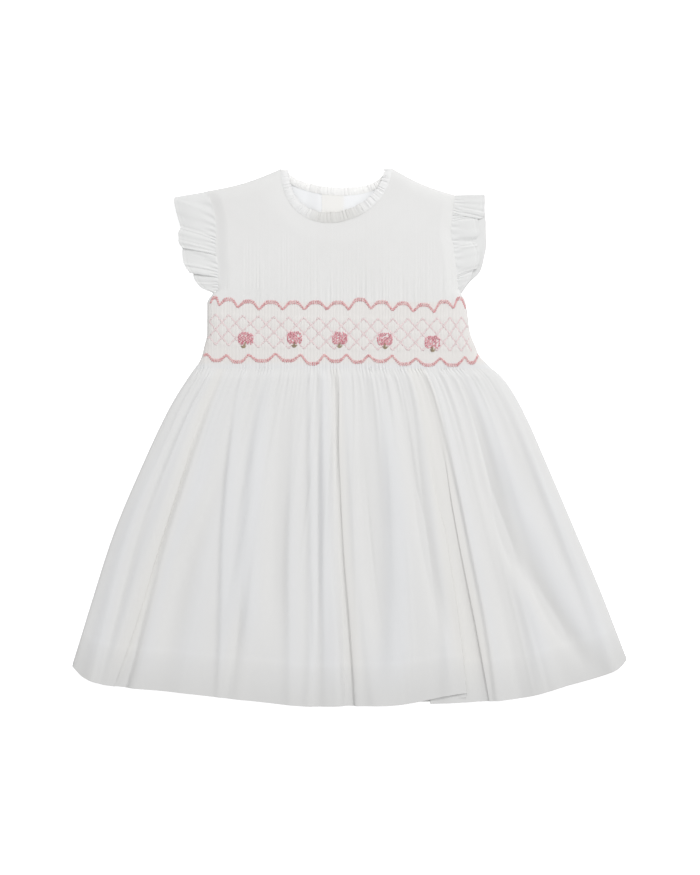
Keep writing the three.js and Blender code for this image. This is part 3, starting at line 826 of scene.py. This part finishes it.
def pleat_lap(pleat, down):
    return lerp(pleat["lap_waist"], pleat["lap_hem"], down**1.5)


def pleat_fold(pleat, down):
    """How far the pleat has folded over at this height, from 0 to 1."""
    return smooth((down - pleat["start"]) / 0.22)


def fold_radius(down):
    return lerp(FOLD_RADIUS["waist"], FOLD_RADIUS["hem"], down)


def pleat_points(pleat, down):
    """Across one folded pleat, for every row: x and the lift above the front cloth."""
    radius = fold_radius(down)
    edge, lap = pleat_edge(pleat, down), pleat_lap(pleat, down)
    t = np.linspace(0, 1, BEND_STEPS)[None, :]

    def bend(x, height, outward):
        lift = height + radius * np.cos(np.pi * t)
        return x + outward * radius * np.sin(np.pi * t), lift + 0 * x

    first = bend(edge, 3 * radius, pleat["over"])
    second = bend(edge - pleat["over"] * lap, radius, -pleat["over"])
    x, lift = (np.concatenate(pair, axis=1) for pair in zip(first, second))
    t = np.linspace(-1, 1, x.shape[1])[None, :]
    folded = pleat_fold(pleat, down)
    x = lerp(edge - pleat["over"] * (lap / 2 - 2.5 * t), x, folded)
    lift = lerp(2 * radius * (1 - smooth((t + 1) / 2)), lift, folded)
    return (x, lift) if pleat["over"] > 0 else (x[:, ::-1], lift[:, ::-1])


def raised_by(pleat, down, x):
    """How far the cloth on top of a pleat is lifted, fading over the pleat's reach."""
    away = (pleat_edge(pleat, down) - x) * pleat["over"]
    stands = lerp(0.5, 1, pleat_fold(pleat, down))
    fading = 1 - smooth((away - pleat_lap(pleat, down) - 2) / pleat["reach"])
    return 4 * fold_radius(down) * stands * fading


SPAN_STEPS = (56, 224, 134, 16, 132)  # mesh steps across the plain cloth beside the pleats
BEND_STEPS = 9                # and round each bend of a pleat


def front_rows(down):
    """Every row of the front skirt from the left edge to the right: x, lift and hem rise. Spans
    of plain cloth lie between the pleats, and share no point with them."""
    pleats = table_rows(PLEATS)
    folded = [pleat_points(pleat, down) for pleat in pleats]
    parts = []
    for k, count in enumerate(SPAN_STEPS):
        before, after = (folded[k - 1] if k else None), (folded[k] if k < len(folded) else None)
        start = before[0][:, -1:] if before else skirt_x(0.0, down)
        end = after[0][:, :1] if after else skirt_x(1.0, down)
        first, stop = (1 if before else 0), (count if after else count + 1)
        x = lerp(start, end, np.linspace(0, 1, count + 1)[None, first:stop])
        lift = np.zeros_like(x)
        rise = np.zeros_like(x)
        if before and pleats[k - 1]["over"] < 0:
            lift = np.maximum(lift, raised_by(pleats[k - 1], down, x))
        if after and pleats[k]["over"] > 0:
            lift = np.maximum(lift, raised_by(pleats[k], down, x))
        if after:
            rise = smooth(1 - (pleat_edge(pleats[k], down) - x) / 70) * pleats[k]["rise"]
        parts.append((x, lift, rise))
        if after:
            steps = after[0].shape[1]
            easing = pleats[k]["rise"] * (1 - smooth(np.linspace(0, 1, steps)))[None, :]
            parts.append((after[0], after[1], easing + 0 * after[0]))
    return [np.concatenate(same, axis=1) for same in zip(*parts)]


HEM_DEPTH = 41.0              # the deep hem, above the lower edge
SKIRT_LENGTH = 325.0          # from the waist to that edge, near the middle


def front_skirt():
    down = mesh_lines((0, 0.1, 16), (0.1, 1, 58))[::-1][:, None]
    x, lift, rise = front_rows(down)
    across = (x - skirt_side("left", down)) / skirt_width(down)
    y = skirt_y(across, down) + rise * down**2
    z = front_height(across, down) + lift
    above_hem = (1 - down) * SKIRT_LENGTH + 0 * x
    in_hem = smooth((HEM_DEPTH - above_hem) / 3)
    hem_seam = np.exp(-(((above_hem - HEM_DEPTH - 1) / 2.5) ** 2))
    z = z + 0.25 * in_hem - 0.2 * hem_seam
    # Painted shade: a warmer, darker tint in the troughs between folds and along the pleats' creases.
    fold_shade = 0.6 - 0.6 * smooth((soft_folds(across, down, FOLDS) + 1) / 5)
    pleat_shade = sum(
        np.exp(-(((across - fold_line(pleat, down)) / 0.025) ** 2)) for pleat in table_rows(PLEATS)
    )
    marks = {
        "doubled_and_frill_shade": in_hem * lerp(0.3, 1, smooth(1 - above_hem / HEM_DEPTH)),
        "sunk": np.maximum(fold_shade, np.minimum(pleat_shade, 1)),
    }
    cloth(
        "front_skirt", (x, y, z), WHITE,
        marks=marks,
    )


BACK_HEM_INSET = 2.0          # the back's hem stays this far inside the front's
BACK_FOLLOW = 0.3             # share of the soft folds that the back follows


def back_skirt():
    down = np.linspace(1, 0, 60)[:, None]
    across = np.linspace(0, 1, 260)[None, :]
    x = skirt_x(across, down)
    y = skirt_y(across, down) + BACK_HEM_INSET * down**6
    lift = np.maximum(0, BACK_FOLLOW * soft_folds(across, down, SOFT_FOLDS) - 0.6)
    lift = lift * quarter_round(inside_skirt(across, down) / ROLL)
    cloth(
        "back_skirt", (x, y, BACK_LEVEL + lift), WHITE,
        marks={"doubled_and_frill_shade": smooth((HEM_DEPTH - (1 - down) * SKIRT_LENGTH) / 3) + 0 * x},
    )


# ---- Sleeves, frill and buttons ----

BACK_FROM = 0.76              # share of the sleeve strip that lies in front
GATHERED = {"height": 0.42, "count": 34}       # fine gathers beside the armhole
FLOUNCED = {"height": 0.42, "count": 11}       # soft waves toward the free edge
SLEEVE_SEEDS = {"left": (51, 53), "right": (52, 54)}   # of the waves' wander and their swell


def rim_curve(side, name, t):
    rims = SLEEVE_RIMS[side]
    return look({"at": np.linspace(0, 1, len(rims["seam"])), name: rims[name]}, "at", name, t)


def sleeve_waves(s, t, wander, swell):
    """Height of the gathers and flounces, from the seam (s = 0) to the free edge (s = 1)."""
    fine = GATHERED["height"] * np.cos(2 * np.pi * (GATHERED["count"] * t + 0.5 * wander))
    soft = FLOUNCED["height"] * np.cos(2 * np.pi * (FLOUNCED["count"] * t + 0.9 * wander))
    return fine * (1 - smooth(s / 0.45)) * smooth(s / 0.05) + soft * swell * smooth(s / 0.4)


def sleeve(side):
    """A flutter sleeve: a gathered strip folded into flounces, round from the front to the back."""
    outward = -1 if side == "left" else 1
    s = np.linspace(0, 1, 44)[:, None]
    t = np.linspace(0, 1, 300)[None, :]
    wander, swell = (noise_line(seed, swings)(t) for seed, swings in zip(SLEEVE_SEEDS[side], (30, 18)))
    rim_x, rim_y, rim_z = (rim_curve(side, name, t) for name in "xyz")
    seam_y = rim_curve(side, "seam", t)
    seam_x = bodice_side(side, seam_y) - outward * 0.15
    back = smooth((t - BACK_FROM) / 0.04)
    seam_z = lerp(bodice_height(seam_x, seam_y) + 0.12 * (rim_z - 4), BACK_LEVEL, back)
    x = lerp(seam_x, rim_x, s) + outward * 0.5 * wander * s**3
    y = lerp(seam_y, rim_y, (s + s**0.8) / 2)
    length = np.hypot(rim_x - seam_x, rim_y - seam_y)
    hem_seam = np.exp(-(((s - 1) * length + 3.2) / 0.8) ** 2)
    waves = sleeve_waves(s, t, wander, 0.6 + 0.4 * swell) - 0.22 * hem_seam
    z = lerp(seam_z, rim_z, smooth(s / 0.75)) + waves * (1 - back)
    grid = (x, y, z) if side == "left" else (x[::-1], y[::-1], z[::-1])
    cloth(f"sleeve_{side}", grid, SLEEVE_COTTON)


FRILL_WIDTH = {"front": 9.8, "back": 7.6}
FRILL_SEWN = 0.35             # the frill starts this far behind the neck seam
RIPPLES = {"count": 31, "height": 0.32}
frill_wander = noise_line(21, 44)
frill_depth = noise_line(22, 60)
frill_edge = noise_line(23, 90)


def frill_grid(edge, along, height):
    """A gathered strip standing off the neck seam towards the middle of the opening."""
    v = np.linspace(0, 1, 16)[:, None]
    x, y = neck_point(along, edge)
    next_x, next_y = neck_point(along + 0.001, edge)
    length = np.hypot(next_x - x, next_y - y)
    phase = 2 * np.pi * (RIPPLES["count"] * along + 0.6 * frill_wander(along))
    ripple = (0.65 + 0.35 * frill_depth(along)) * np.cos(phase) + 0.35 * np.cos(2.3 * phase + 1)
    uneven = 1 + 0.05 * ripple + 0.06 * frill_edge(along)
    reach = FRILL_WIDTH[edge] * lerp(0.72, 1, np.sin(np.pi * along)) * uneven
    moved = (reach * v - FRILL_SEWN) / length
    sway = 0.35 * np.sin(phase) * v / length
    lift = RIPPLES["height"] * ripple * smooth(v / 0.3) + 0.5 * np.sin(np.pi * np.minimum(v * 1.1, 1))
    place_x = x - (next_y - y) * moved + (next_x - x) * sway
    place_y = y + (next_x - x) * moved + (next_y - y) * sway
    return place_x, place_y, height + lift


def front_frill():
    along = np.linspace(0.004, 0.996, 520)[None, :]
    toward_middle = np.sin(np.pi * along)
    stands = NECKLINE_LEVEL * BODICE_LOFT * quarter_round(toward_middle / 0.3)
    grid = frill_grid("front", along, FRONT_LEVEL + 0.65 + stands)
    # Painted shade: the frill is tinted darker towards the bottom of the neckline.
    shaded = smooth((toward_middle - 0.75) / 0.25) + 0 * grid[0]
    cloth(
        "neck_frill_front", grid, TRIM,
        marks={"doubled_and_frill_shade": shaded}, thickness=FRILL_CLOTH,
    )


def back_frill(side, start, end):
    """The frill of one back half, on the half that lies on top where they overlap."""
    along = np.linspace(start, end, 240)[None, :]
    x, _ = neck_point(along, "back")
    on_right_half = smooth((x - OPENING["inner"] + 4) / 4)
    back = lerp(outer_back_height(x), inner_back_height(x), on_right_half)
    toward_shoulder = smooth(1 - np.minimum(along, 1 - along) / 0.3)
    cloth(
        f"neck_frill_back_{side}", frill_grid("back", along, back + 0.4 + 3 * toward_shoulder),
        BACK_TRIM, thickness=FRILL_CLOTH,
    )


def finish_buttons():
    for name in ("button_top", "button_middle", "button_bottom"):
        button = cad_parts[name]
        for socket in button.material_slots:
            socket.material = PEARL


# ---- Embroidery ----


def bead_shape():
    """Unit stitch: a rounded bead along X, from -0.5 to 0.5, half a unit in radius."""
    around, rings = 7, 5
    points = [(-0.5, 0, 0)]
    for i in range(1, rings):
        angle = math.pi * i / rings
        for j in range(around):
            turn = 2 * math.pi * j / around
            radius = 0.5 * math.sin(angle) ** 0.7
            points.append((-0.5 * math.cos(angle), radius * math.cos(turn), radius * math.sin(turn)))
    points.append((0.5, 0, 0))
    faces = []
    last = len(points) - 1
    for j in range(around):
        k = (j + 1) % around
        faces.append((0, 1 + k, 1 + j))
        faces.append((last, last - around + j, last - around + k))
        for i in range(rings - 2):
            a, b = 1 + i * around, 1 + (i + 1) * around
            faces.append((a + j, a + k, b + k, b + j))
    return np.array(points), faces


BEAD_POINTS, BEAD_FACES = bead_shape()


def stitches(name, starts, ends, width, height, material, seed):
    """One joined mesh of stitches, each lying on the bodice from its start to its end."""
    starts, ends = np.array(starts), np.array(ends)
    middle = (starts + ends) / 2
    run = ends - starts
    length = np.linalg.norm(run, axis=1)
    along = np.column_stack([run / length[:, None], np.zeros(len(run))])
    across = np.column_stack([-along[:, 1], along[:, 0], np.zeros(len(run))])
    z = bodice_surface(middle[:, 0], middle[:, 1]) + CLOTH / 2 + height * 0.25
    points = (
        np.column_stack([middle, z])[:, None, :]
        + BEAD_POINTS[None, :, :1] * (along * length[:, None])[:, None, :]
        + BEAD_POINTS[None, :, 1:2] * across[:, None, :] * width
        + BEAD_POINTS[None, :, 2:] * np.array([0, 0, height])
    )
    count = len(BEAD_POINTS)
    faces = [tuple(i + n * count for i in face) for n in range(len(run)) for face in BEAD_FACES]
    piece = mesh_object(name, points.reshape(-1, 3), faces)
    shade = np.random.default_rng(seed).uniform(0, 1, len(run))
    store(piece, "shade", np.repeat(shade, count))
    piece.data.materials.append(material)
    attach(piece, "root")


def along_path(points, step, fill):
    """Starts and ends of stitches of about one step each along a line of points. Each stitch
    fills that share of its step, so that above 1 they overlap."""
    points = np.array(points, float)
    run = np.concatenate([[0], np.cumsum(np.linalg.norm(np.diff(points, axis=0), axis=1))])
    count = max(1, round(run[-1] / step))
    marks = np.linspace(0, run[-1], count + 1)
    at = np.column_stack([np.interp(marks, run, points[:, k]) for k in (0, 1)])
    gap = (1 - fill) / 2
    return lerp(at[:-1], at[1:], gap), lerp(at[:-1], at[1:], 1 - gap)


# The salmon rows: where their points lie and how high or low each arch between them reaches.
TOP_ROW = table(
    "x y arch",
    (-134, 129, 134.6), (-125.6, 126.4, 132.6), (-107.6, 124.6, 130.6), (-87.3, 122.4, 130),
    (-64.4, 122.4, 129.8), (-43.9, 122.6, 129.8), (-22.1, 122.8, 129.6), (-1, 122.6, 132.4),
    (20.1, 123.4, 130), (40.8, 121.8, 128.8), (60.8, 120.6, 127.4), (80.8, 120, 130.4),
    (99.6, 124, 133.6), (111, 124, 124),
)
LOW_ROW = table(
    "x y arch",
    (-141, 79, 79), (-137.4, 80.6, 74), (-118.6, 79.6, 72.6), (-97.4, 79.8, 73.6),
    (-71.4, 81, 73.8), (-47.2, 80, 70.8), (-24.7, 79.8, 73.2), (-3.2, 80.2, 72.4),
    (17.9, 79.4, 73.2), (40.6, 79, 70.4), (63.8, 76.2, 69.6), (86.7, 76.4, 69.4),
    (110.4, 77.6, 71.6), (123.2, 79.6, 79.6),
)
FLAT_PART = 0.36              # share of each arch that runs level
# Stitches of a row: their step, the share of it that each fills, their slant, and half the least
# distance between the two lines.
CABLE = {"step": 2.0, "fill": 1.15, "slant": math.radians(60), "closest": 0.35}


def arched_row(row, x):
    """The line of an arched row, and how level it runs there: 1 in an arch, 0 at its points."""
    i = np.clip(np.searchsorted(row["x"], x, side="right") - 1, 0, len(row["x"]) - 2)
    t = (x - row["x"][i]) / (row["x"][i + 1] - row["x"][i])
    away = np.abs(2 * t - 1)
    level = 1 - np.clip((away - FLAT_PART) / (1 - FLAT_PART), 0, 1) ** 1.15
    between_points = lerp(row["y"][i], row["y"][i + 1], t)
    return lerp(between_points, row["arch"][i], level), smooth((level - 0.45) / 0.5)


def cabled_rows(name, row, gap, seed):
    """Two close rows of slanting stitches that run together at the points."""
    x = np.linspace(row["x"][0], row["x"][-1], 1800)
    y, level = arched_row(row, x)
    starts, ends = [], []
    for side in (-1, 1):
        line = np.column_stack([x, y + side * (CABLE["closest"] + gap * level)])
        a, b = along_path(line, CABLE["step"], CABLE["fill"])
        middle, half = (a + b) / 2, (b - a) / 2
        sine, cosine = math.sin(CABLE["slant"] * side), math.cos(CABLE["slant"])
        turned = np.column_stack([
            half[:, 0] * cosine - half[:, 1] * sine,
            half[:, 0] * sine + half[:, 1] * cosine,
        ])
        starts.append(middle - turned)
        ends.append(middle + turned)
    stitches(name, np.concatenate(starts), np.concatenate(ends), 1.4, 0.9, SALMON, seed)


def embroider_rows():
    cabled_rows("scallops_top", TOP_ROW, 0.6, 31)
    cabled_rows("scallops_low", LOW_ROW, 0.45, 32)


def lattice_points():
    """Corners of the trellis, row by row from its top zigzag down."""
    rows = []
    for j in range(LATTICE_ROWS + 1):
        x = LATTICE_PEAKS if j % 2 == 0 else (LATTICE_PEAKS[:-1] + LATTICE_PEAKS[1:]) / 2
        y = lerp(lattice_level("top", x), lattice_level("bottom", x), j / LATTICE_ROWS)
        rows.append(np.column_stack([x, y]))
    return rows


def embroider_lattice():
    """Diamond trellis of thin running stitches, two diamonds high."""
    starts, ends = [], []
    rows = lattice_points()
    for upper, lower in zip(rows[:-1], rows[1:]):
        wide, narrow = (upper, lower) if len(upper) > len(lower) else (lower, upper)
        for k, point in enumerate(narrow):
            for other in (wide[k], wide[k + 1]):
                a, b = along_path([point, other], 2.6, 1.3)
                kept = np.minimum(inside_bodice(*a.T), inside_bodice(*b.T)) > 1
                starts.append(a[kept])
                ends.append(b[kept])
    stitches("lattice", np.concatenate(starts), np.concatenate(ends), 1.9, 0.35, PALE_PINK, 33)


FLOWERS = table(
    "x y stem_lean",
    (-100, 95.4, -2.6), (-53.2, 96, -0.6), (-9.9, 95.6, -0.4), (33.4, 94.6, 0), (79, 91.8, 0),
)


# A flower head is rows of knots, counted from the lowest one up.
HEAD = {"rows": 9, "lowest": -5.6, "row_step": 1.35, "half_width": 7.6, "knot_step": 1.55}
KNOT_REACH = 0.85             # half the length of a knot
LEFT_OUT = 0.09               # share of the knots that are left out


def flower_knots(x, y, random):
    """One flower head: rows of knots that slant left and right in turn."""
    starts, ends = [], []
    for row in range(HEAD["rows"]):
        level = HEAD["lowest"] + row * HEAD["row_step"]
        half = HEAD["half_width"] * math.sqrt(max(0.02, 1 - abs((level + 0.6) / 6.6) ** 3))
        count = max(2, int(2 * half / HEAD["knot_step"]))
        for k in range(count):
            at = np.array([x + lerp(-half, half, (k + 0.5) / count), y + level])
            over_stem = level < -5 and abs(at[0] - x) < 1
            if random.uniform() < LEFT_OUT or over_stem:
                continue
            at = at + random.uniform(-0.2, 0.2, 2)
            turn = math.radians(45 if (row + k) % 2 else -45) + random.uniform(-0.2, 0.2)
            reach = KNOT_REACH * np.array([math.cos(turn), math.sin(turn)])
            starts.append(at - reach)
            ends.append(at + reach)
    return starts, ends


def flower_stem(x, y, lean):
    """A short double stem, and two small leaves at its foot."""
    neck, foot = np.array([x, y - 3.4]), np.array([x - 0.2 + lean, y - 9.6])
    starts, ends = [], []
    for side in (-0.45, 0.45):
        starts.append(neck + (side, 0))
        ends.append(foot + (side, 0))
    for side, reach in ((-1, 2.4), (1, 3.6)):
        starts += [foot + (-side * 0.6, 1.2), foot + (-side * 0.6, 0.2)]
        ends += [foot + (side * reach, 2.2), foot + (side * (reach - 1), 0.9)]
    return starts, ends


def embroider_flowers():
    random = np.random.default_rng(41)
    knots, stems = ([], []), ([], [])
    for x, y, lean in zip(*FLOWERS.values()):
        for made, lists in ((flower_knots(x, y, random), knots), (flower_stem(x, y, lean), stems)):
            lists[0].extend(made[0])
            lists[1].extend(made[1])
    stitches("flower_heads", *knots, 1.1, 1.1, ROSE, 34)
    stitches("flower_stems", *stems, 1.15, 0.8, OLIVE, 35)


# ---- Floor, light and camera ----

CAMERA_HEIGHT = 1.989         # metres
CAMERA_LENS = 85.0


def set_stage():
    bpy.ops.mesh.primitive_plane_add(size=12)
    floor = bpy.context.object
    floor.name = "floor"
    floor.location.z = -0.0001
    material, tree, shader = new_material("Pale floor")
    seen = node(tree, "ShaderNodeLightPath").outputs["Is Camera Ray"]
    feed(tree, shader, {
        "Base Color": (0.9, 0.9, 0.9, 1),
        "Roughness": 0.95,
        "Specular IOR Level": 0.0,
        "Emission Color": (1, 1, 1, 1),
        "Emission Strength": ranged(tree, seen, 0, 0.6),
    })
    floor.data.materials.append(material)


def softbox(name, place, size, power):
    """A square soft light, turned to the middle of the dress."""
    light = bpy.data.lights.new(name, "AREA")
    light.shape = "SQUARE"
    light.size = size
    light.energy = power
    lamp = bpy.data.objects.new(name, light)
    bpy.context.scene.collection.objects.link(lamp)
    lamp.location = place
    lamp.rotation_euler = (Vector() - Vector(place)).to_track_quat("-Z", "Y").to_euler()


def set_light():
    world = bpy.data.worlds.new("Soft studio")
    world.use_nodes = True
    tree = world.node_tree
    feed(tree, tree.nodes["Background"], {"Color": (0.985, 0.985, 1, 1), "Strength": 0.52})
    bpy.context.scene.world = world
    softbox("key", (0.95, 1.5, 1.7), 0.7, 24.5)
    softbox("top", (0, 0, 2.8), 1.6, 19.5)
    bpy.context.scene.view_settings.view_transform = "Standard"


def set_camera():
    camera = bpy.data.cameras.new("camera")
    camera.lens = CAMERA_LENS
    camera.sensor_width = 36
    holder = bpy.data.objects.new("camera", camera)
    bpy.context.scene.collection.objects.link(holder)
    holder.location = (0, 0, CAMERA_HEIGHT)
    bpy.context.scene.camera = holder


set_camera()
set_stage()
set_light()
back_bodice("left", OPENING["outer"], outer_back_height)
back_bodice("right", OPENING["inner"], inner_back_height)
back_skirt()
front_yoke()
smocked_band()
front_skirt()
sleeve("left")
sleeve("right")
front_frill()
back_frill("left", 0.02, 0.4745)
back_frill("right", 0.4755, 0.98)
finish_buttons()
embroider_rows()
embroider_lattice()
embroider_flowers()
